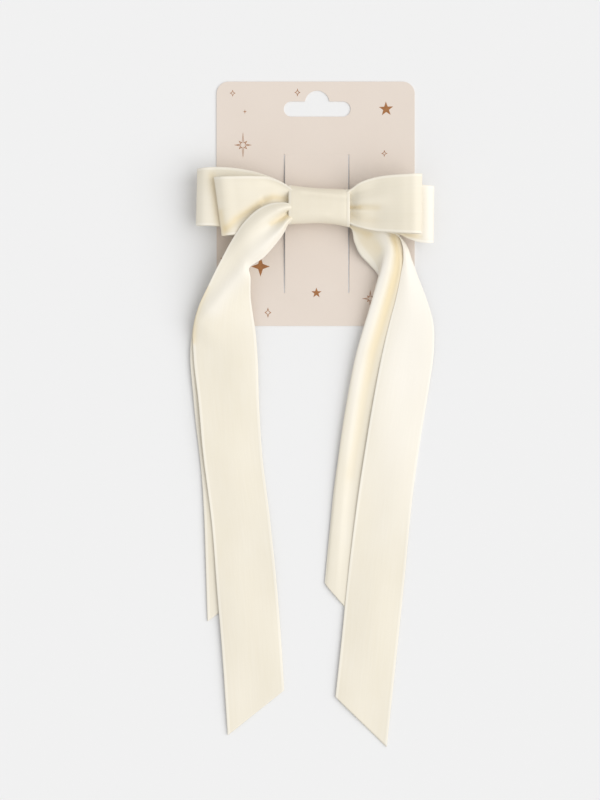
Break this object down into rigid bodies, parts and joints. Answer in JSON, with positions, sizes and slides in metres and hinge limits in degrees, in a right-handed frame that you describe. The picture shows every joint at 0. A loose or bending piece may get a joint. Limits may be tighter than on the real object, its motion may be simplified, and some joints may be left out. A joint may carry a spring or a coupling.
{
  "type": "hair bow",
  "caption": "Flat satin ribbon hair bow with layered loops, wrapped knot and long slanted tails on a hinged barrette clasp, clipped to a small hang card.",
  "frame": {"origin": "on the surface that the bow lies on, straight below the middle of the knot, in the clasp", "axes": "+Z away from the surface, out of the front of the bow; +Y from the knot towards the card's hang slot, along the tails; +X towards the right lobe of the loops"},
  "size_m": [0.1017, 0.2776, 0.0179],
  "materials": {
    "satin": "ivory satin weave",
    "thread": "matt thread",
    "card_board": "matt coated board",
    "clasp_steel": "nickel plated",
    "spring_steel": "nickel plated",
    "hot_melt": "translucent glue"
  },
  "bodies": {
    "card_and_arm": {"display_card": "card_board", "clasp_arm": "clasp_steel"},
    "bow": {"base_plate": "clasp_steel", "hinge_pin": "clasp_steel", "tension_spring": "spring_steel", "glue_pad": "hot_melt", "back_left_tail": "satin", "back_right_tail": "satin", "front_right_tail": "satin", "front_left_tail": "satin", "back_loop": "satin", "front_loop": "satin", "gather_thread": "thread", "knot_band": "satin"}
  },
  "joints": [
    {"name": "clasp_hinge", "type": "hinge", "parent": "card_and_arm", "child": "bow", "pos_m": [-0.04, 0, 0.0018], "axis": [0, -1, 0], "range_deg": [0, 45], "deforming": ["back_left_tail", "back_right_tail", "front_right_tail", "front_left_tail"]}
  ]
}
